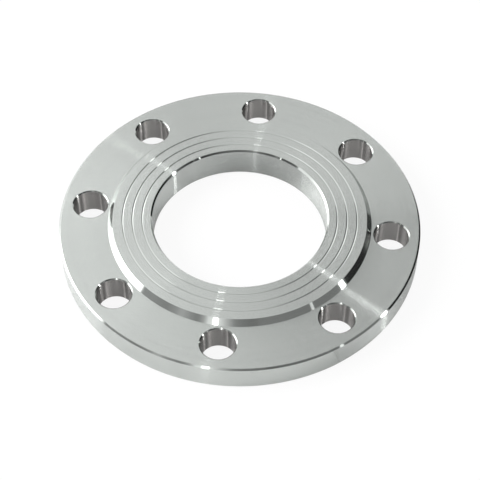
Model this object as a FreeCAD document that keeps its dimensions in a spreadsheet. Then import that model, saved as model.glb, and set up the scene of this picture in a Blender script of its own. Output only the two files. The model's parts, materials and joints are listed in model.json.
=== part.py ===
import FreeCAD, Part
import os
import Sketcher

# A turned steel weld flange. It is one flat ring with a raised gasket face on one side, three
# fine V grooves cut into that face, a plain bore for the pipe and a circle of bolt holes.
# The origin is on the bore's axis in the plane of the back face, and +Z points out of the
# gasket face. The bolt holes straddle the X and Y centrelines.

doc = FreeCAD.newDocument("weld_flange")

# Driving dimensions, in millimetres and degrees
SIZES = [
    ("flange_diameter", 190.0),
    ("plate_thickness", 14.7),
    ("face_rise", 3.1),
    ("face_diameter", 133.5),
    ("face_slope_width", 2.6),
    ("bore_diameter", 92.0),
    ("rim_chamfer", 0.9),
    ("rim_back_chamfer", 0.5),
    ("bore_chamfer", 0.9),
    ("bolt_circle_inset", 15.0),
    ("bolt_hole_diameter", 18.0),
    ("bolt_hole_chamfer", 0.6),
    ("bolt_hole_count", 8),
    ("groove_count", 3),
    ("groove_depth", 0.25),
    ("groove_angle", 120.0),
]

sheet = doc.addObject("Spreadsheet::Sheet", "sizes")
for row, (name, number) in enumerate(SIZES, start=1):
    sheet.set(f"A{row}", name)
    sheet.set(f"B{row}", str(number))
    sheet.setAlias(f"B{row}", name)
doc.recompute()

# Radii and heights that follow from the driving dimensions
RIM_RADIUS = "sizes.flange_diameter / 2"
BORE_RADIUS = "sizes.bore_diameter / 2"
FACE_RADIUS = "sizes.face_diameter / 2"
SLOPE_FOOT_RADIUS = f"({FACE_RADIUS} + sizes.face_slope_width)"
PLATE_HEIGHT = "sizes.plate_thickness"
FACE_HEIGHT = "(sizes.plate_thickness + sizes.face_rise)"
BOLT_CIRCLE_RADIUS = f"({RIM_RADIUS} - sizes.bolt_circle_inset)"
BOLT_HOLE_RADIUS = "sizes.bolt_hole_diameter / 2"
BOLT_MOUTH_RADIUS = f"({BOLT_HOLE_RADIUS} + sizes.bolt_hole_chamfer)"
GROOVE_HALF_WIDTH = "sizes.groove_depth * tan(sizes.groove_angle * 1deg / 2)"
BACK_HEIGHT = "0"


def worth(expression):
    """The number that an expression on the sheet gives now."""
    return float(sheet.evalExpression(expression))


def origin_plane(body, role):
    """One of the body's own origin planes or axes, found by its role."""
    return next(feature for feature in body.Origin.OriginFeatures if feature.Role == role)


def section_sketch(body, name):
    """An empty sketch in the upright plane through the flange's axis: x is a radius, y a height."""
    sketch = body.newObject("Sketcher::SketchObject", name)
    sketch.AttachmentSupport = [(origin_plane(body, "XZ_Plane"), "")]
    sketch.MapMode = "FlatFace"
    return sketch


def bind(sketch, kind, line, expression):
    """Holds the line's start at a distance from the origin that the sheet drives."""
    rule = sketch.addConstraint(Sketcher.Constraint(kind, -1, 1, line, 1, worth(expression)))
    sketch.setExpression(f"Constraints[{rule}]", expression)


def draw_outline(sketch, corners):
    """A closed outline of straight lines. A corner is a radius and a height, as expressions."""
    spots = [FreeCAD.Vector(worth(radius), worth(height), 0) for radius, height in corners]
    lines = []
    for spot, following in zip(spots, spots[1:] + spots[:1]):
        lines.append(sketch.addGeometry(Part.LineSegment(spot, following), False))
    for line, following in zip(lines, lines[1:] + lines[:1]):
        sketch.addConstraint(Sketcher.Constraint("Coincident", line, 2, following, 1))
    for line, (radius, height) in zip(lines, corners):
        bind(sketch, "DistanceX", line, radius)
        if height == BACK_HEIGHT:
            sketch.addConstraint(Sketcher.Constraint("PointOnObject", line, 1, -1))
        else:
            bind(sketch, "DistanceY", line, height)
    return lines


def turn(body, kind, name, sketch, axis):
    """A full turn of a sketched section about one of the sketch's own axes."""
    feature = body.newObject(kind, name)
    feature.Profile = sketch
    feature.ReferenceAxis = (sketch, [axis])
    feature.Angle = 360
    sketch.Visibility = False
    return feature


def check_cut(body, name, before):
    """Stops where a cut took nothing away, and gives the volume that is left."""
    doc.recompute()
    after = body.Shape.Volume
    if not after < before:
        raise RuntimeError(f"{name} cut nothing")
    return after


flange = doc.addObject("PartDesign::Body", "flange")
flange.Label = "flange"

# The ring, turned from one section: back face, rim, plate face, slope, gasket face and bore
ring_section = section_sketch(flange, "ring_section")
draw_outline(ring_section, [
    (f"{BORE_RADIUS} + sizes.bore_chamfer", BACK_HEIGHT),
    (f"{RIM_RADIUS} - sizes.rim_back_chamfer", BACK_HEIGHT),
    (RIM_RADIUS, "sizes.rim_back_chamfer"),
    (RIM_RADIUS, f"{PLATE_HEIGHT} - sizes.rim_chamfer"),
    (f"{RIM_RADIUS} - sizes.rim_chamfer", PLATE_HEIGHT),
    (SLOPE_FOOT_RADIUS, PLATE_HEIGHT),
    (FACE_RADIUS, FACE_HEIGHT),
    (f"{BORE_RADIUS} + sizes.bore_chamfer", FACE_HEIGHT),
    (BORE_RADIUS, f"{FACE_HEIGHT} - sizes.bore_chamfer"),
    (BORE_RADIUS, "sizes.bore_chamfer"),
])
ring = turn(flange, "PartDesign::Revolution", "ring", ring_section, "V_Axis")
doc.recompute()
volume = flange.Shape.Volume

# Gasket grooves: V cuts that part the gasket face into even lands from the bore to its edge
groove_section = section_sketch(flange, "gasket_groove_section")
for step in range(1, int(worth("sizes.groove_count")) + 1):
    share = f"{step} / (sizes.groove_count + 1)"
    centre = f"({BORE_RADIUS} + ({FACE_RADIUS} - {BORE_RADIUS}) * {share})"
    draw_outline(groove_section, [
        (f"{centre} - {GROOVE_HALF_WIDTH}", FACE_HEIGHT),
        (centre, f"{FACE_HEIGHT} - sizes.groove_depth"),
        (f"{centre} + {GROOVE_HALF_WIDTH}", FACE_HEIGHT),
    ])
gasket_grooves = turn(flange, "PartDesign::Groove", "gasket_grooves", groove_section, "V_Axis")
volume = check_cut(flange, "gasket_grooves", volume)

# One bolt hole, cut about its own axis with a chamfer at its mouth on the plate. The bolt circle,
# 160 mm across, keeps its distance from the rim. Above the plate the cut goes on as wide as the mouth,
# so that it also clears a gasket face that reaches over it. The section is turned about the
# flange's axis by half the spacing of the holes, so that they straddle the centrelines.
hole_section = section_sketch(flange, "bolt_hole_section")
hole_section.AttachmentOffset = FreeCAD.Placement(
    FreeCAD.Vector(0, 0, 0), FreeCAD.Rotation(FreeCAD.Vector(0, 1, 0), worth("180 / sizes.bolt_hole_count")))
hole_section.setExpression("AttachmentOffset.Rotation.Angle", "180 / sizes.bolt_hole_count")
hole_lines = draw_outline(hole_section, [
    (BOLT_CIRCLE_RADIUS, BACK_HEIGHT),
    (f"{BOLT_CIRCLE_RADIUS} + {BOLT_HOLE_RADIUS}", BACK_HEIGHT),
    (f"{BOLT_CIRCLE_RADIUS} + {BOLT_HOLE_RADIUS}", f"{PLATE_HEIGHT} - sizes.bolt_hole_chamfer"),
    (f"{BOLT_CIRCLE_RADIUS} + {BOLT_MOUTH_RADIUS}", PLATE_HEIGHT),
    (f"{BOLT_CIRCLE_RADIUS} + {BOLT_MOUTH_RADIUS}", FACE_HEIGHT),
    (BOLT_CIRCLE_RADIUS, FACE_HEIGHT),
])
hole_axis = hole_section.addGeometry(Part.LineSegment(
    FreeCAD.Vector(worth(BOLT_CIRCLE_RADIUS), 0, 0),
    FreeCAD.Vector(worth(BOLT_CIRCLE_RADIUS), worth(FACE_HEIGHT), 0)), True)
hole_section.addConstraint(Sketcher.Constraint("Coincident", hole_axis, 1, hole_lines[0], 1))
hole_section.addConstraint(Sketcher.Constraint("Coincident", hole_axis, 2, hole_lines[-1], 1))
bolt_hole = turn(flange, "PartDesign::Groove", "bolt_hole", hole_section, "Axis0")
volume = check_cut(flange, "bolt_hole", volume)

# The circle of bolt holes
bolt_holes = flange.newObject("PartDesign::PolarPattern", "bolt_holes")
bolt_holes.Originals = [bolt_hole]
bolt_holes.Axis = (ring_section, ["V_Axis"])
bolt_holes.Angle = 360
bolt_holes.Occurrences = int(worth("sizes.bolt_hole_count"))
bolt_holes.setExpression("Occurrences", "sizes.bolt_hole_count")
flange.Tip = bolt_holes
check_cut(flange, "bolt_holes", volume)

# Every feature is sound before anything is written
for item in doc.Objects:
    if "Invalid" in item.State or "Error" in item.State:
        raise RuntimeError(f"{item.Name} failed: {item.State}")

os.makedirs("parts", exist_ok=True)
for body in [flange]:
    shape = body.Shape
    if shape.isNull() or not shape.isValid() or len(shape.Solids) != 1:
        raise RuntimeError(f"{body.Label} is not one sound solid")
    shape.exportStep(f"parts/{body.Label}.step")
    print(body.Label, "volume", round(shape.Volume, 1), "mm3, box", shape.BoundBox)
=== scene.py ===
import json
import math

import bpy
import numpy as np
from mathutils import Matrix, Vector


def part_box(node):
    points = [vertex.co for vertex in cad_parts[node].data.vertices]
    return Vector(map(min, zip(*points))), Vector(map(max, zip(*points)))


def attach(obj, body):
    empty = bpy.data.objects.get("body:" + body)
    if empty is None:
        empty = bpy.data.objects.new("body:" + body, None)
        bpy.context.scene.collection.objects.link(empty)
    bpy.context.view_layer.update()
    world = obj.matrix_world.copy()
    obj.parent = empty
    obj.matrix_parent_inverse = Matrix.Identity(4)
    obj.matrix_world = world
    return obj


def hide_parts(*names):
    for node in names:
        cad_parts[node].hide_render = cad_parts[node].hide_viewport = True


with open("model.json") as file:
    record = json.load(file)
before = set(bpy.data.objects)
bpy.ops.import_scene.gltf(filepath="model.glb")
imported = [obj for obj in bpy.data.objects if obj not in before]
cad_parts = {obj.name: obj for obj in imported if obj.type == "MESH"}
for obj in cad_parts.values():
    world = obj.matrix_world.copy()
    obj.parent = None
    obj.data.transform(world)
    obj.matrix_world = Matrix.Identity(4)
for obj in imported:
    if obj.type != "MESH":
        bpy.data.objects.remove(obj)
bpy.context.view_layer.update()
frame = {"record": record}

# Sizes of the flange, in metres. What the frame states is read from it.
MM = 0.001
mounts = {mount["name"]: mount["dims"] for mount in frame["record"]["mounts"]}
flange_low, flange_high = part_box("flange")
RIM_RADIUS = min(flange_high[0], flange_high[1], -flange_low[0], -flange_low[1])
FACE_HEIGHT = flange_high[2]
BORE_RADIUS = mounts["pipe_bore"]["r_mm"] * MM
BOLT_CIRCLE_RADIUS = mounts["bolt_circle"]["pcd_mm"] / 2 * MM
BOLT_HOLE_RADIUS = mounts["bolt_circle"]["hole_r_mm"] * MM
BOLT_HOLE_COUNT = mounts["bolt_circle"]["count"]
PLATE_HEIGHT = 14.7 * MM
FACE_RADIUS = 66.75 * MM
SLOPE_FOOT_RADIUS = 69.35 * MM
CHAMFER = 0.9 * MM
RIM_BACK_CHAMFER = 0.5 * MM
BOLT_HOLE_CHAMFER = 0.6 * MM
GROOVE_COUNT = 3
GROOVE_DEPTH = 0.25 * MM
GROOVE_ANGLE = math.radians(120)
GROOVE_HALF_WIDTH = GROOVE_DEPTH * math.tan(GROOVE_ANGLE / 2)

# How the mesh is cut up and how far its sharp edges are broken
COLUMNS_PER_HOLE = 48
SIDE_STEPS = 20
PLATE_ROWS = 5
ARC_STEPS = 3
EDGE_ROUNDING = 0.1 * MM
GROOVE_ROUNDING = 0.06 * MM
WELD_DISTANCE = 0.001 * MM

# The flat sectors that hold the bolt holes stop a little short of every edge
SECTOR_MARGIN = 0.5 * MM
SECTOR_INNER_RADIUS = SLOPE_FOOT_RADIUS + SECTOR_MARGIN
SECTOR_OUTER_RADIUS = RIM_RADIUS - CHAMFER - SECTOR_MARGIN
SECTOR_MOUTH_RADIUS = BOLT_HOLE_RADIUS + BOLT_HOLE_CHAMFER + SECTOR_MARGIN / 2

# The finishes in the order of the mesh's material slots
FACED, TURNED, CUT, DRILLED = range(4)

# Steel and the marks on it. The bands are soft rings of tone, and their width is counted in tool marks.
STEEL = (0.56, 0.585, 0.565)
DRILLED_STEEL = (0.5, 0.49, 0.48)
TOOL_PITCH = 0.2 * MM
MARK_DRIFT = 0.3 * MM
MARK_DRIFT_SCALE = 1.3
BAND_WIDTH = 17.0
CLOUD_SIZE = 30 * MM
CLOUD_DETAIL = 4
TONE_SPREAD = 0.05
ROUGHNESS_SPREAD = 0.04

# Painted reflections down a bolt hole, light and dark lengthwise streaks,
# as (degrees round the hole, tone), from 0 to half a turn
PAINTED_HOLE_STREAKS = [
    (0, 1.0), (9, 1.2), (17, 1.4), (25, 1.3), (32, 0.85), (38, 0.8), (42, 1.0), (44, 1.9), (46, 1.9),
    (49, 1.2), (55, 1.0), (72, 1.05), (88, 1.1), (97, 1.35), (103, 1.8), (107, 1.85), (111, 1.1),
    (115, 0.75), (120, 0.85), (124, 1.8), (128, 1.9), (131, 1.0), (137, 0.6), (145, 0.6), (155, 0.8),
    (168, 0.75), (180, 1.0),
]
BRIGHTEST_PAINTED_STREAK = 2.0

# Camera, by the edges of the rim, bore, step, grooves and bolt holes in the photograph
CAMERA_TURN = math.radians(-14.95)
CAMERA_RISE = math.radians(51.08)
CAMERA_ROLL = math.radians(0.13)
CAMERA_DISTANCE = 754.9 * MM
CAMERA_LENS = 106.1
CAMERA_SENSOR = 36
CAMERA_REACH = (0.01, 50)
AIM = (0.15 * MM, -2.32 * MM, 0.44 * MM)

# Studio, with the points that each card and strip has along its two sides
WORLD_LEVEL = 0.8
FLOOR_HALF_WIDTH = 3.0
FLOOR_HEIGHT = -0.05 * MM
FLOOR_COLOUR = (0.9, 0.9, 0.9, 1)
FLOOR_GLOW = 0.9
FLOOR_MIRRORED_GLOW = 0.08
CARD_STEPS = (65, 65)
FLOOR_CARD_STEPS = (9, 73)
LEAN_CARD_STEPS = (5, 49)
LEAN_CARD_DISTANCE = 1.6
STRIP_STEPS = (33, 3)
STRIP_DISTANCE = 1.5
STRIP_LOWEST = 0.02


# Shapes
def rounded_section(corners, finishes, rounding):
    """A section with rounded corners: rows of (radius, height), their outward normals and their finishes.

    Every inner corner becomes an arc that turns evenly from one straight stretch to the next and touches
    both at rounding times the tangent of half the turn. The section runs with the metal on its left, so
    the outward normal is its direction turned a quarter to the right: (dz, -dr). A finish belongs to the
    stretch after a row.
    """
    corners = np.array(corners, float)
    steps = np.diff(corners, axis=0)
    along = steps / np.linalg.norm(steps, axis=1)[:, None]
    before, after = along[:-1], along[1:]
    turn = np.arctan2(before[:, 0] * after[:, 1] - before[:, 1] * after[:, 0], (before * after).sum(1))
    radii = np.broadcast_to(rounding, turn.shape)
    reach = radii * np.tan(np.abs(turn) / 2)
    side = np.sign(turn)[:, None]
    left = np.stack([-before[:, 1], before[:, 0]], 1)
    centre = corners[1:-1] - before * reach[:, None] + left * side * radii[:, None]
    swing = turn[:, None] * np.linspace(0, 1, ARC_STEPS + 1)
    cos, sin = np.cos(swing), np.sin(swing)
    way = np.stack([before[:, None, 0] * cos - before[:, None, 1] * sin,
                    before[:, None, 0] * sin + before[:, None, 1] * cos], 2)
    way_left = np.stack([-way[..., 1], way[..., 0]], 2)
    arcs = centre[:, None] - way_left * (side * radii[:, None])[:, None]
    points = np.concatenate([corners[:1], arcs.reshape(-1, 2), corners[-1:]])
    ways = np.concatenate([along[:1], way.reshape(-1, 2), along[-1:]])
    normals = np.stack([ways[:, 1], -ways[:, 0]], 1)
    after_finish = np.repeat(np.array(finishes[1:]), ARC_STEPS + 1)
    return points, normals, np.concatenate([finishes[:1], after_finish])


def turned_patch(section, angles, centre=(0.0, 0.0)):
    """The surface that a lathe or drill leaves: a section carried round an upright axis.

    A row at radius r and height z goes to centre + (r cos a, r sin a, z) for every angle a. The tool marks
    run along a, so the direction across them is the section's own. The pattern is (a, length along the
    section).
    """
    points, normals, finishes = section
    cos, sin = np.cos(angles), np.sin(angles)

    def spun(pair):
        return np.stack([pair[:, :1] * cos, pair[:, :1] * sin, pair[:, 1:] + 0 * cos], 2)

    ways = np.stack([-normals[:, 1], normals[:, 0]], 1)
    place = spun(points) + np.array([centre[0], centre[1], 0])
    run = np.concatenate([[0], np.cumsum(np.linalg.norm(np.diff(points, axis=0), axis=1))])
    pattern = np.stack(np.broadcast_arrays(angles[None], run[:, None]), 2)
    return place, spun(normals), spun(ways), pattern, finishes


def holed_sector(turn, height, upwards):
    """One sector of a flat face with a bolt hole in it, and the angles round its mouth.

    Its outline runs out along one side, round the outer arc, in along the other side and back round the
    inner arc. Each point of the outline is joined to the point of the hole's mouth in the same direction
    from the hole's centre, in even steps: P = (1 - s) mouth + s outline. The tool marks run round the
    flange's axis, so the direction across them is radial. The pattern is (angle about the flange, radius).
    """
    half = math.pi / BOLT_HOLE_COUNT
    out = np.linspace(SECTOR_INNER_RADIUS, SECTOR_OUTER_RADIUS, SIDE_STEPS + 1)[:-1]
    swing = np.linspace(-half, half, COLUMNS_PER_HOLE + 1)[:-1]
    radius = np.concatenate([out, np.full(COLUMNS_PER_HOLE, SECTOR_OUTER_RADIUS),
                             out[::-1] + (out[1] - out[0]), np.full(COLUMNS_PER_HOLE, SECTOR_INNER_RADIUS)])
    angle = np.concatenate([np.full(SIDE_STEPS, -half), swing, np.full(SIDE_STEPS, half), -swing])
    outline = np.stack([radius * np.cos(angle), radius * np.sin(angle)], 1)
    hole_centre = np.array([BOLT_CIRCLE_RADIUS, 0])
    spokes = outline - hole_centre
    around = np.unwrap(np.arctan2(spokes[:, 1], spokes[:, 0]))
    mouth = hole_centre + SECTOR_MOUTH_RADIUS * np.stack([np.cos(around), np.sin(around)], 1)
    share = np.linspace(0, 1, PLATE_ROWS + 1)[:, None, None]
    flat = (1 - share) * mouth + share * outline
    flat = np.concatenate([flat, flat[:, :1]], 1)
    spot_angle = np.arctan2(flat[..., 1], flat[..., 0])
    spot_radius = np.hypot(flat[..., 0], flat[..., 1])
    a = spot_angle + turn
    zero = np.zeros_like(a)
    place = np.stack([spot_radius * np.cos(a), spot_radius * np.sin(a), zero + height], 2)
    normal = np.stack([zero, zero, zero + (1 if upwards else -1)], 2)
    across = np.stack([np.cos(a), np.sin(a), zero], 2)
    pattern = np.stack([a, spot_radius], 2)
    grids = [place, normal, across, pattern]
    if upwards:
        grids = [grid[::-1] for grid in grids]
    around = np.concatenate([around, around[:1] + 2 * math.pi]) + turn
    return (*grids, np.full(PLATE_ROWS, FACED)), around


def grid_faces(rows, columns):
    """The four-sided faces of a grid of points that is counted row by row."""
    index = np.arange(rows * columns).reshape(rows, columns)
    return np.stack([index[:-1, :-1], index[:-1, 1:], index[1:, 1:], index[1:, :-1]], 2).reshape(-1, 4)


def welded_mesh(name, patches):
    """One closed mesh from patches: four-sided faces over each grid, with shared points made one.

    The exact normals go in as the corners' own. Two corner attributes hold what the finishes need: across,
    the direction across the tool marks, and marks, the pattern's (angle, length).
    """
    places, normals, acrosses, patterns, quads, finishes = [], [], [], [], [], []
    start = 0
    for place, normal, across, pattern, finish in patches:
        rows, columns = place.shape[:2]
        quads.append(start + grid_faces(rows, columns))
        finishes.append(np.repeat(finish, columns - 1))
        for store, grid in ((places, place), (normals, normal), (acrosses, across), (patterns, pattern)):
            store.append(grid.reshape(rows * columns, -1))
        start += rows * columns
    places, normals, acrosses, patterns, quads, finishes = map(
        np.concatenate, (places, normals, acrosses, patterns, quads, finishes))
    key = np.round(places / WELD_DISTANCE).astype(np.int64)
    _, first, shared = np.unique(key, axis=0, return_index=True, return_inverse=True)
    corners = quads.reshape(-1)
    mesh = bpy.data.meshes.new(name)
    mesh.vertices.add(len(first))
    mesh.vertices.foreach_set("co", places[first].reshape(-1))
    mesh.loops.add(len(corners))
    mesh.loops.foreach_set("vertex_index", shared.reshape(-1)[corners].astype(np.int32))
    mesh.polygons.add(len(quads))
    mesh.polygons.foreach_set("loop_start", np.arange(0, len(corners), 4, dtype=np.int32))
    mesh.polygons.foreach_set("material_index", finishes.astype(np.int32))
    mesh.update(calc_edges=True)
    mesh.validate()
    mesh.shade_smooth()
    mesh.normals_split_custom_set(normals[corners])
    across = mesh.attributes.new("across", "FLOAT_VECTOR", "CORNER")
    across.data.foreach_set("vector", acrosses[corners].reshape(-1))
    marks = mesh.attributes.new("marks", "FLOAT_VECTOR", "CORNER")
    marks.data.foreach_set("vector", np.pad(patterns[corners], ((0, 0), (0, 1))).reshape(-1))
    piece = bpy.data.objects.new(name, mesh)
    bpy.context.collection.objects.link(piece)
    return piece


def rim_section():
    """The rim from the back face round to the plate face, with a chamfer at each edge."""
    return rounded_section([
        (SECTOR_OUTER_RADIUS, 0),
        (RIM_RADIUS - RIM_BACK_CHAMFER, 0),
        (RIM_RADIUS, RIM_BACK_CHAMFER),
        (RIM_RADIUS, PLATE_HEIGHT - CHAMFER),
        (RIM_RADIUS - CHAMFER, PLATE_HEIGHT),
        (SECTOR_OUTER_RADIUS, PLATE_HEIGHT),
    ], [FACED, CUT, TURNED, CUT, FACED], EDGE_ROUNDING)


def face_section():
    """The slope, the gasket face with its grooves, the bore with its chamfers, and part of the back face."""
    corners = [
        (SECTOR_INNER_RADIUS, PLATE_HEIGHT),
        (SLOPE_FOOT_RADIUS, PLATE_HEIGHT),
        (FACE_RADIUS, FACE_HEIGHT),
    ]
    finishes = [FACED, CUT]
    rounding = [EDGE_ROUNDING] * 2
    land = (FACE_RADIUS - BORE_RADIUS) / (GROOVE_COUNT + 1)
    for number in range(1, GROOVE_COUNT + 1):
        centre = FACE_RADIUS - land * number
        corners += [
            (centre + GROOVE_HALF_WIDTH, FACE_HEIGHT),
            (centre, FACE_HEIGHT - GROOVE_DEPTH),
            (centre - GROOVE_HALF_WIDTH, FACE_HEIGHT),
        ]
        finishes += [FACED, CUT, CUT]
        rounding += [GROOVE_ROUNDING] * 3
    corners += [
        (BORE_RADIUS + CHAMFER, FACE_HEIGHT),
        (BORE_RADIUS, FACE_HEIGHT - CHAMFER),
        (BORE_RADIUS, CHAMFER),
        (BORE_RADIUS + CHAMFER, 0),
        (SECTOR_INNER_RADIUS, 0),
    ]
    finishes += [FACED, CUT, TURNED, CUT, FACED]
    rounding += [EDGE_ROUNDING] * 4
    return rounded_section(corners, finishes, rounding)


def hole_section():
    """A bolt hole from its mouth on the plate face, with its chamfer, down to its plain mouth on the back."""
    return rounded_section([
        (SECTOR_MOUTH_RADIUS, PLATE_HEIGHT),
        (BOLT_HOLE_RADIUS + BOLT_HOLE_CHAMFER, PLATE_HEIGHT),
        (BOLT_HOLE_RADIUS, PLATE_HEIGHT - BOLT_HOLE_CHAMFER),
        (BOLT_HOLE_RADIUS, 0),
        (SECTOR_MOUTH_RADIUS, 0),
    ], [CUT, CUT, DRILLED, CUT], EDGE_ROUNDING)


def make_flange():
    """The whole flange as one closed skin: rim, gasket face and bore, holed sectors and bolt holes."""
    columns = COLUMNS_PER_HOLE * BOLT_HOLE_COUNT
    angles = np.linspace(0, 2 * math.pi, columns + 1)
    patches = [turned_patch(rim_section(), angles), turned_patch(face_section(), angles)]
    hole = hole_section()
    for number in range(BOLT_HOLE_COUNT):
        turn = (2 * number + 1) * math.pi / BOLT_HOLE_COUNT
        top, around = holed_sector(turn, PLATE_HEIGHT, True)
        back, _ = holed_sector(turn, 0.0, False)
        centre = (BOLT_CIRCLE_RADIUS * math.cos(turn), BOLT_CIRCLE_RADIUS * math.sin(turn))
        patches += [top, back, turned_patch(hole, around, centre)]
    return welded_mesh("flange_body", patches)


# Node helpers
def new_node(tree, kind, **values):
    """A node with its settings."""
    node = tree.nodes.new(kind)
    for name, value in values.items():
        setattr(node, name, value)
    return node


def set_input(tree, socket, value):
    """Feeds an input from a socket, or sets it to a number."""
    if isinstance(value, bpy.types.NodeSocket):
        tree.links.new(value, socket)
    else:
        socket.default_value = value


def math_node(tree, operation, first, second=None):
    """A Math node whose inputs are sockets or numbers."""
    node = new_node(tree, "ShaderNodeMath", operation=operation)
    set_input(tree, node.inputs[0], first)
    if second is not None:
        set_input(tree, node.inputs[1], second)
    return node.outputs[0]


def noise_node(tree, dimensions, place, scale, detail=2):
    """Smooth noise from 0 to 1. One-dimensional noise reads a number, and the others read a vector."""
    node = new_node(tree, "ShaderNodeTexNoise", noise_dimensions=dimensions)
    tree.links.new(place, node.inputs["W" if dimensions == "1D" else "Vector"])
    set_input(tree, node.inputs["Scale"], scale)
    node.inputs["Detail"].default_value = detail
    return node.outputs[0]


def new_material(name):
    """An empty material with its output node."""
    material = bpy.data.materials.new(name)
    material.use_nodes = True
    material.node_tree.nodes.clear()
    return material, material.node_tree, material.node_tree.nodes.new("ShaderNodeOutputMaterial")


def new_group(name, inputs, outputs):
    """An empty node group with float or vector sockets, and its input and output nodes."""
    group = bpy.data.node_groups.new(name, "ShaderNodeTree")
    for label, kind, value in inputs:
        socket = group.interface.new_socket(name=label, in_out="INPUT", socket_type=kind)
        if value is not None:
            socket.default_value = value
    for label, kind in outputs:
        group.interface.new_socket(name=label, in_out="OUTPUT", socket_type=kind)
    return group, group.nodes.new("NodeGroupInput"), group.nodes.new("NodeGroupOutput")


# Finishes
def tool_marks_group():
    """The fine scallops that the round nose of a cutting tool leaves.

    Each scallop is one pitch wide, counted along the section and drifting a little round it. Across it the
    surface leans by slope s^3, where s runs evenly from -1 to 1, so its middle is almost level and its
    edges are steep. The normal is the surface's own plus that lean times the direction across. The tone is
    smooth noise about 0 that changes from one band of marks to the next.
    """
    group, given, made = new_group(
        "tool_marks",
        [("Marks", "NodeSocketVector", None), ("Across", "NodeSocketVector", None),
         ("Pitch", "NodeSocketFloat", TOOL_PITCH), ("Slope", "NodeSocketFloat", 0.6)],
        [("Normal", "NodeSocketVector"), ("Tone", "NodeSocketFloat")])
    split = group.nodes.new("ShaderNodeSeparateXYZ")
    group.links.new(given.outputs["Marks"], split.inputs[0])
    turn = group.nodes.new("ShaderNodeCombineXYZ")
    group.links.new(math_node(group, "COSINE", split.outputs[0]), turn.inputs[0])
    group.links.new(math_node(group, "SINE", split.outputs[0]), turn.inputs[1])
    drift = noise_node(group, "2D", turn.outputs[0], MARK_DRIFT_SCALE)
    shift = math_node(group, "MULTIPLY", drift, MARK_DRIFT)
    length = math_node(group, "ADD", split.outputs[1], shift)
    run = math_node(group, "DIVIDE", length, given.outputs["Pitch"])
    doubled = math_node(group, "MULTIPLY", math_node(group, "FRACT", run), 2.0)
    side = math_node(group, "SUBTRACT", doubled, 1.0)
    cubed = math_node(group, "MULTIPLY", math_node(group, "MULTIPLY", side, side), side)
    lean = math_node(group, "MULTIPLY", cubed, given.outputs["Slope"])
    tilt = new_node(group, "ShaderNodeVectorMath", operation="SCALE")
    group.links.new(given.outputs["Across"], tilt.inputs[0])
    group.links.new(lean, tilt.inputs["Scale"])
    surface = group.nodes.new("ShaderNodeNewGeometry")
    leaning = new_node(group, "ShaderNodeVectorMath", operation="ADD")
    group.links.new(surface.outputs["Normal"], leaning.inputs[0])
    group.links.new(tilt.outputs[0], leaning.inputs[1])
    normal = new_node(group, "ShaderNodeVectorMath", operation="NORMALIZE")
    group.links.new(leaning.outputs[0], normal.inputs[0])
    group.links.new(normal.outputs[0], made.inputs["Normal"])
    band = noise_node(group, "1D", math_node(group, "DIVIDE", run, BAND_WIDTH), 1.0)
    group.links.new(math_node(group, "SUBTRACT", band, 0.5), made.inputs["Tone"])
    return group


def handling_group():
    """What hands and the bench leave on bare steel: soft cloudy patches, in object coordinates."""
    group, given, made = new_group(
        "handling",
        [("Position", "NodeSocketVector", None), ("Size", "NodeSocketFloat", CLOUD_SIZE)],
        [("Cloud", "NodeSocketFloat")])
    scale = math_node(group, "DIVIDE", 1.0, given.outputs["Size"])
    cloud = noise_node(group, "3D", given.outputs["Position"], scale, CLOUD_DETAIL)
    group.links.new(math_node(group, "SUBTRACT", cloud, 0.5), made.inputs["Cloud"])
    return group


def painted_hole_streaks_group():
    """Painted reflections in a bolt hole: light and dark lengthwise streaks, as a tone by the angle round
    the hole.

    The tone runs in straight steps from one listed angle to the next, and the list repeats every half turn.
    A ramp only holds colours up to 1, so it gets the tones as shares of the brightest streak.
    """
    group, given, made = new_group(
        "painted_hole_streaks", [("Marks", "NodeSocketVector", None)], [("Tone", "NodeSocketFloat")])
    split = group.nodes.new("ShaderNodeSeparateXYZ")
    group.links.new(given.outputs["Marks"], split.inputs[0])
    place = math_node(group, "FRACT", math_node(group, "DIVIDE", split.outputs[0], math.pi))
    ramp = group.nodes.new("ShaderNodeValToRGB")
    group.links.new(place, ramp.inputs["Fac"])
    stops = ramp.color_ramp.elements
    for number, (angle, tone) in enumerate(PAINTED_HOLE_STREAKS):
        shade = tone / BRIGHTEST_PAINTED_STREAK
        stop = stops[number] if number < len(stops) else stops.new(angle / 180)
        stop.position = angle / 180
        stop.color = (shade, shade, shade, 1)
    tone = math_node(group, "MULTIPLY", ramp.outputs["Color"], BRIGHTEST_PAINTED_STREAK)
    group.links.new(tone, made.inputs["Tone"])
    return group


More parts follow.
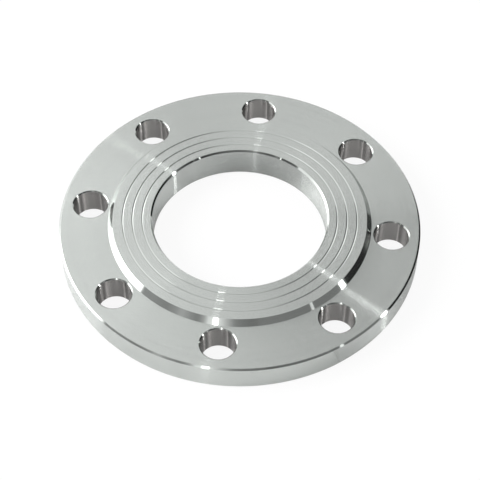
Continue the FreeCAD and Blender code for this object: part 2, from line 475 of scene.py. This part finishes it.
def steel(name, tool_marks, handling, colour, roughness, slope, painted_streaks=None):
    """Bare machined steel. Its highlight spreads across the tool marks and stays tight along them."""
    material, tree, output = new_material(name)
    shader = new_node(tree, "ShaderNodeBsdfPrincipled")
    tree.links.new(shader.outputs[0], output.inputs["Surface"])
    shader.inputs["Metallic"].default_value = 1.0
    shader.inputs["Anisotropic"].default_value = 1.0
    marks = new_node(tree, "ShaderNodeAttribute", attribute_name="marks")
    across = new_node(tree, "ShaderNodeAttribute", attribute_name="across")
    tree.links.new(across.outputs["Vector"], shader.inputs["Tangent"])
    place = new_node(tree, "ShaderNodeTexCoord")
    rings = new_node(tree, "ShaderNodeGroup", node_tree=tool_marks)
    tree.links.new(marks.outputs["Vector"], rings.inputs["Marks"])
    tree.links.new(across.outputs["Vector"], rings.inputs["Across"])
    rings.inputs["Pitch"].default_value = TOOL_PITCH
    rings.inputs["Slope"].default_value = slope
    tree.links.new(rings.outputs["Normal"], shader.inputs["Normal"])
    patches = new_node(tree, "ShaderNodeGroup", node_tree=handling)
    tree.links.new(place.outputs["Object"], patches.inputs["Position"])
    ring_tone = math_node(tree, "MULTIPLY", rings.outputs["Tone"], TONE_SPREAD)
    patch_tone = math_node(tree, "MULTIPLY", patches.outputs["Cloud"], TONE_SPREAD)
    level = math_node(tree, "ADD", math_node(tree, "ADD", ring_tone, patch_tone), 1.0)
    # Painted reflections: streaks of light and shade multiply the colour round a bolt hole
    if painted_streaks:
        streaked = new_node(tree, "ShaderNodeGroup", node_tree=painted_streaks)
        tree.links.new(marks.outputs["Vector"], streaked.inputs["Marks"])
        level = math_node(tree, "MULTIPLY", level, streaked.outputs["Tone"])
    tint = new_node(tree, "ShaderNodeVectorMath", operation="SCALE")
    tint.inputs[0].default_value = colour
    tree.links.new(level, tint.inputs["Scale"])
    tree.links.new(tint.outputs[0], shader.inputs["Base Color"])
    spread = math_node(tree, "MULTIPLY", patches.outputs["Cloud"], ROUGHNESS_SPREAD)
    tree.links.new(math_node(tree, "ADD", spread, roughness), shader.inputs["Roughness"])
    return material


# Flange
flange_body = make_flange()
marks_group = tool_marks_group()
hands_group = handling_group()
painted_streak_group = painted_hole_streaks_group()
for material in (
    steel("faced_steel", marks_group, hands_group, STEEL, roughness=0.13, slope=0.72),
    steel("turned_steel", marks_group, hands_group, STEEL, roughness=0.15, slope=1.0),
    steel("cut_steel", marks_group, hands_group, STEEL, roughness=0.1, slope=0.04),
    # The drilled steel carries the painted reflection streaks down the bolt holes
    steel("drilled_steel", marks_group, hands_group, DRILLED_STEEL, roughness=0.12, slope=1.5,
          painted_streaks=painted_streak_group),
):
    flange_body.data.materials.append(material)
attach(flange_body, "root")
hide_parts("flange")


# Camera
def seen_from_camera(x, y, z):
    """A way or place given with x to the camera's right and y away from it, in the flange's frame."""
    cos, sin = math.cos(CAMERA_TURN), math.sin(CAMERA_TURN)
    return Vector((x * cos - y * sin, x * sin + y * cos, z))


def towards(azimuth, elevation):
    """The direction at an elevation and an azimuth, counted from the camera's right round by the far side."""
    a, e = math.radians(azimuth), math.radians(elevation)
    return seen_from_camera(math.cos(a) * math.cos(e), math.sin(a) * math.cos(e), math.sin(e))


def make_camera():
    """The photograph's camera: back is the way from the aim to the lens, and the roll turns it about that."""
    back = seen_from_camera(0, -math.cos(CAMERA_RISE), math.sin(CAMERA_RISE))
    right = seen_from_camera(1, 0, 0)
    up = back.cross(right)
    cos, sin = math.cos(CAMERA_ROLL), math.sin(CAMERA_ROLL)
    rolled_right = right * cos + up * sin
    rolled_up = up * cos - right * sin
    place = seen_from_camera(*AIM) + back * CAMERA_DISTANCE
    data = bpy.data.cameras.new("camera")
    data.lens = CAMERA_LENS
    data.sensor_width = CAMERA_SENSOR
    data.clip_start, data.clip_end = CAMERA_REACH
    camera = bpy.data.objects.new("camera", data)
    bpy.context.collection.objects.link(camera)
    camera.matrix_world = Matrix((
        (rolled_right.x, rolled_up.x, back.x, place.x),
        (rolled_right.y, rolled_up.y, back.y, place.y),
        (rolled_right.z, rolled_up.z, back.z, place.z),
        (0, 0, 0, 1)))
    bpy.context.scene.camera = camera


make_camera()


# Studio
def is_seen(tree):
    """1 for what the camera sees, directly, in a reflection or through glass, and 0 for what only lights."""
    path = new_node(tree, "ShaderNodeLightPath")
    seen = math_node(tree, "MAXIMUM", path.outputs["Is Camera Ray"], path.outputs["Is Glossy Ray"])
    return math_node(tree, "MAXIMUM", seen, path.outputs["Is Transmission Ray"])


def make_world():
    """A white room: strength 1 where it is seen, and a plain level where it lights."""
    world = bpy.data.worlds.new("white_room")
    bpy.context.scene.world = world
    world.use_nodes = True
    tree = world.node_tree
    tree.nodes.clear()
    output = new_node(tree, "ShaderNodeOutputWorld")
    background = new_node(tree, "ShaderNodeBackground")
    background.inputs["Color"].default_value = (1, 1, 1, 1)
    level = math_node(tree, "MULTIPLY", is_seen(tree), 1 - WORLD_LEVEL)
    tree.links.new(math_node(tree, "ADD", level, WORLD_LEVEL), background.inputs["Strength"])
    tree.links.new(background.outputs[0], output.inputs["Surface"])


def make_floor():
    """A pale plain floor just under the flange. Part of its white is a glow that is seen but lights nothing.

    The camera gets the larger share of glow. Reflections get the smaller one, so they keep more of the
    shadow.
    """
    w, z = FLOOR_HALF_WIDTH, FLOOR_HEIGHT
    mesh = bpy.data.meshes.new("floor")
    mesh.from_pydata([(-w, -w, z), (w, -w, z), (w, w, z), (-w, w, z)], [], [(0, 1, 2, 3)])
    floor = bpy.data.objects.new("floor", mesh)
    bpy.context.collection.objects.link(floor)
    material, tree, output = new_material("pale_floor")
    diffuse = new_node(tree, "ShaderNodeBsdfDiffuse")
    diffuse.inputs["Color"].default_value = FLOOR_COLOUR
    emission = new_node(tree, "ShaderNodeEmission")
    mix = new_node(tree, "ShaderNodeMixShader")
    path = new_node(tree, "ShaderNodeLightPath")
    direct = math_node(tree, "MAXIMUM", path.outputs["Is Camera Ray"], path.outputs["Is Transmission Ray"])
    direct_part = math_node(tree, "MULTIPLY", direct, FLOOR_GLOW)
    mirrored_part = math_node(tree, "MULTIPLY", path.outputs["Is Glossy Ray"], FLOOR_MIRRORED_GLOW)
    tree.links.new(math_node(tree, "MAXIMUM", direct_part, mirrored_part), mix.inputs[0])
    tree.links.new(diffuse.outputs[0], mix.inputs[1])
    tree.links.new(emission.outputs[0], mix.inputs[2])
    tree.links.new(mix.outputs[0], output.inputs["Surface"])
    mesh.materials.append(material)


def make_glowing_sheet(name, places, shape, glow):
    """A sheet over a grid of places that only reflections see. It has one glow, or one for each place."""
    mesh = bpy.data.meshes.new(name)
    mesh.from_pydata([tuple(place) for place in places], [], grid_faces(*shape).tolist())
    material, tree, output = new_material(name)
    emission = new_node(tree, "ShaderNodeEmission")
    if np.ndim(glow) == 0:
        emission.inputs["Strength"].default_value = glow
    else:
        tone = mesh.attributes.new("tone", "FLOAT", "POINT")
        tone.data.foreach_set("value", np.ravel(glow))
        level = new_node(tree, "ShaderNodeAttribute", attribute_name="tone")
        tree.links.new(level.outputs["Fac"], emission.inputs["Strength"])
    tree.links.new(emission.outputs[0], output.inputs["Surface"])
    mesh.materials.append(material)
    sheet = bpy.data.objects.new(name, mesh)
    bpy.context.collection.objects.link(sheet)
    sheet.visible_camera = False
    sheet.visible_diffuse = False
    sheet.visible_shadow = False


def make_card(name, distance, across, rise):
    """A bent card that only reflections see.

    rise lists (elevation, tone) and across lists (azimuth, share), with even steps in between. A share of
    1 shows the tone, and a share of 0 shows white: tone = 1 - share (1 - tone).
    """
    heights, tones = zip(*rise)
    turns, shares = zip(*across)
    e = np.linspace(heights[0], heights[-1], CARD_STEPS[0])
    a = np.linspace(turns[0], turns[-1], CARD_STEPS[1])
    depth = np.outer(1 - np.interp(e, heights, tones), np.interp(a, turns, shares))
    places = [towards(x, y) * distance for y in e for x in a]
    make_glowing_sheet(name, places, CARD_STEPS, 1 - depth)


def make_floor_card(name, across, reach, height, rise):
    """A level card just over the floor that only reflections see.

    across lists (azimuth, tone), with even steps in between. reach is the nearest and the farthest
    distance from the flange's axis. rise is what the tone is multiplied by at those two distances, again
    with even steps in between.
    """
    turns, tones = zip(*across)
    d = np.linspace(*reach, FLOOR_CARD_STEPS[0])
    a = np.linspace(turns[0], turns[-1], FLOOR_CARD_STEPS[1])
    places = [towards(x, 0) * y + Vector((0, 0, height)) for y in d for x in a]
    glow = np.outer(np.interp(d, reach, rise), np.interp(a, turns, tones))
    make_glowing_sheet(name, places, FLOOR_CARD_STEPS, glow)


def make_lean_card(name, leans, across):
    """A card that shows only in faces of one lean, such as the walls of the grooves.

    A face that leans by t towards a has the normal n = (sin t cos a, sin t sin a, cos t). With c the way
    to the camera, it mirrors what lies along l = 2 (n . c) n - c. The card holds every such l for the
    leans t given and for the a that across lists as (a, tone), with even steps in between.
    """
    turns, tones = zip(*across)
    t = np.radians(np.linspace(*leans, LEAN_CARD_STEPS[0]))[:, None]
    around = np.linspace(turns[0], turns[-1], LEAN_CARD_STEPS[1])
    a = np.radians(around)
    n = np.stack([np.sin(t) * np.cos(a), np.sin(t) * np.sin(a), np.cos(t) + 0 * a], 2)
    c = np.array([0, -math.cos(CAMERA_RISE), math.sin(CAMERA_RISE)])
    way = 2 * (n @ c)[..., None] * n - c
    places = [seen_from_camera(*spot) * LEAN_CARD_DISTANCE for spot in way.reshape(-1, 3)]
    make_glowing_sheet(name, places, LEAN_CARD_STEPS, np.tile(np.interp(around, turns, tones), t.size))


def make_strip(name, angle, bends, width, brightness):
    """A tall narrow lamp that only shows as a glint along one radius of the turned faces.

    Tool marks mirror a lamp where the lamp's direction and the camera's add up to nothing along the marks.
    For the radius at the given angle that holds on the curve l = bend (cos a, sin a) - c, where c is the
    camera's level part, and l's height makes its length 1. The lamp follows that curve and is as wide as
    the given angle.
    """
    a, half = math.radians(angle), math.radians(width) / 2
    bend = np.linspace(*bends, STRIP_STEPS[0])[:, None]
    across = np.linspace(-half, half, STRIP_STEPS[1])
    x = bend * math.cos(a) - across * math.sin(a)
    y = bend * math.sin(a) + across * math.cos(a) + math.cos(CAMERA_RISE)
    z = np.sqrt(np.clip(1 - x ** 2 - y ** 2, STRIP_LOWEST ** 2, None))
    places = [seen_from_camera(*spot) * STRIP_DISTANCE for spot in zip(x.ravel(), y.ravel(), z.ravel())]
    make_glowing_sheet(name, places, STRIP_STEPS, brightness)


def make_panel(name, azimuth, elevation, distance, side, brightness):
    """A soft square lamp that lights but isn't seen. Its face has the given brightness, where 1 is white."""
    data = bpy.data.lights.new(name, "AREA")
    data.shape = "SQUARE"
    data.size = side
    data.energy = brightness * math.pi * side ** 2
    lamp = bpy.data.objects.new(name, data)
    bpy.context.collection.objects.link(lamp)
    direction = towards(azimuth, elevation)
    lamp.location = direction * distance
    lamp.rotation_mode = "QUATERNION"
    lamp.rotation_quaternion = direction.to_track_quat("Z", "Y")
    lamp.visible_camera = False
    lamp.visible_glossy = False


make_world()
make_floor()
make_card("dark_card", 1.9, [(-7, 1), (41, 1)], [(-2, 0.03), (26, 0.03), (38, 0.8), (46, 0.97), (89, 0.97)])
make_card("front_card", 2.0, [(197, 0.94), (290, 0.95), (320, 1), (353, 1)],
          [(-2, 0.27), (30, 0.27), (33, 0.05), (46, 0.05), (55, 0.8), (66, 0.9), (89, 0.9)])
make_card("back_card", 2.1,
          [(41, 0.8), (60, 0.66), (75, 0.38), (90, 0.15), (105, -0.08), (130, -0.4), (197, -0.5)],
          [(20, 0), (60, 0), (89, 0.5)])
make_card("left_card", 1.5, [(104, 0), (120, 0.55), (138, 1), (193, 1), (196, 0)],
          [(-3, 4.2), (14, 4.2), (25, 1.2), (30, 1)])
make_lean_card("right_groove_card", (30.5, 35.5),
               [(280, 0.9), (300, 0.2), (330, 0.02), (360, 0.02), (368, 0.5)])
make_lean_card("left_groove_card", (24, 28.5),
               [(272, 0.9), (292, 0.1), (345, 0.02), (362, 0.1), (368, 0.5)])
make_lean_card("front_fade_card", (45, 60),
               [(222, 0.4), (230, 0.42), (237, 0.35), (242, 0.45), (245, 0.58), (249, 0.42), (252, 0.33),
                (255, 0.6), (257, 1.2), (262, 1.1), (264, 0.8), (268, 0.36), (271, 0.3), (275, 0.25),
                (278, 0.27)])
make_lean_card("groove_glint_card", (25, 27.5), [(122, 1.4), (132, 2), (145, 2.3), (168, 2.3)])
make_floor_card("floor_card", [(-7, 0.03), (41, 0.03)], (0.13, 1.9), 1 * MM, (1, 1))
# Painted shade and light: a sheet on the floor inside the bore gives the bore wall's reflection of that floor
# set tones round the bore, darker towards the wall, where the flange's shadow falls
make_floor_card("painted_bore_floor_shading",
                [(-90, 0.7), (0, 0.9), (26, 1.5), (38, 1.6), (46, 1.25), (56, 0.74), (78, 0.46),
                 (94, 0.52), (110, 0.72), (118, 0.8), (126, 0.78), (136, 1.1), (150, 0.9), (160, 0.6),
                 (270, 0.7)],
                (BORE_RADIUS - 16 * MM, BORE_RADIUS - 0.5 * MM), 0.1 * MM, (1.3, 0.7))
# Painted shade: a sheet on the floor beside the rim gives the rim wall's reflection of that floor set, shaded
# tones on its right side
make_floor_card("painted_rim_floor_shade", [(302, 0.64), (309, 0.74), (316, 0.88), (323, 0.88), (330, 0.7), (335, 0.64)],
                (RIM_RADIUS + 0.5 * MM, RIM_RADIUS + 16 * MM), 0.1 * MM, (1, 1))
make_panel("key_panel", azimuth=188, elevation=38, distance=1.8, side=1.0, brightness=9.0)
for name, angle, bends, width, brightness in (
    ("high_side_strip", 320, (0.62, 0.83), 3.0, 2.2),
    ("side_strip", 320, (0.83, 1.1), 2.2, 4.0),
    ("low_side_strip", 320, (1.1, 1.275), 3.2, 13.0),
    ("left_hole_strip", 241.5, (1.23, 1.3), 1.0, 4.0),
    ("right_hole_strip", 298, (1.23, 1.3), 1.0, 4.0),
    ("front_strip", 259.8, (1.40, 1.56), 3.6, 4.0),
    ("groove_strip", 259.5, (0.95, 1.02), 4.0, 8.0),
    ("thin_strip", 302.5, (1.30, 1.42), 1.8, 1.7),
    ("faint_strip", 244.5, (1.30, 1.44), 4.0, 0.65),
):
    make_strip(name, angle, bends, width, brightness)

bpy.context.scene.view_settings.view_transform = "Standard"
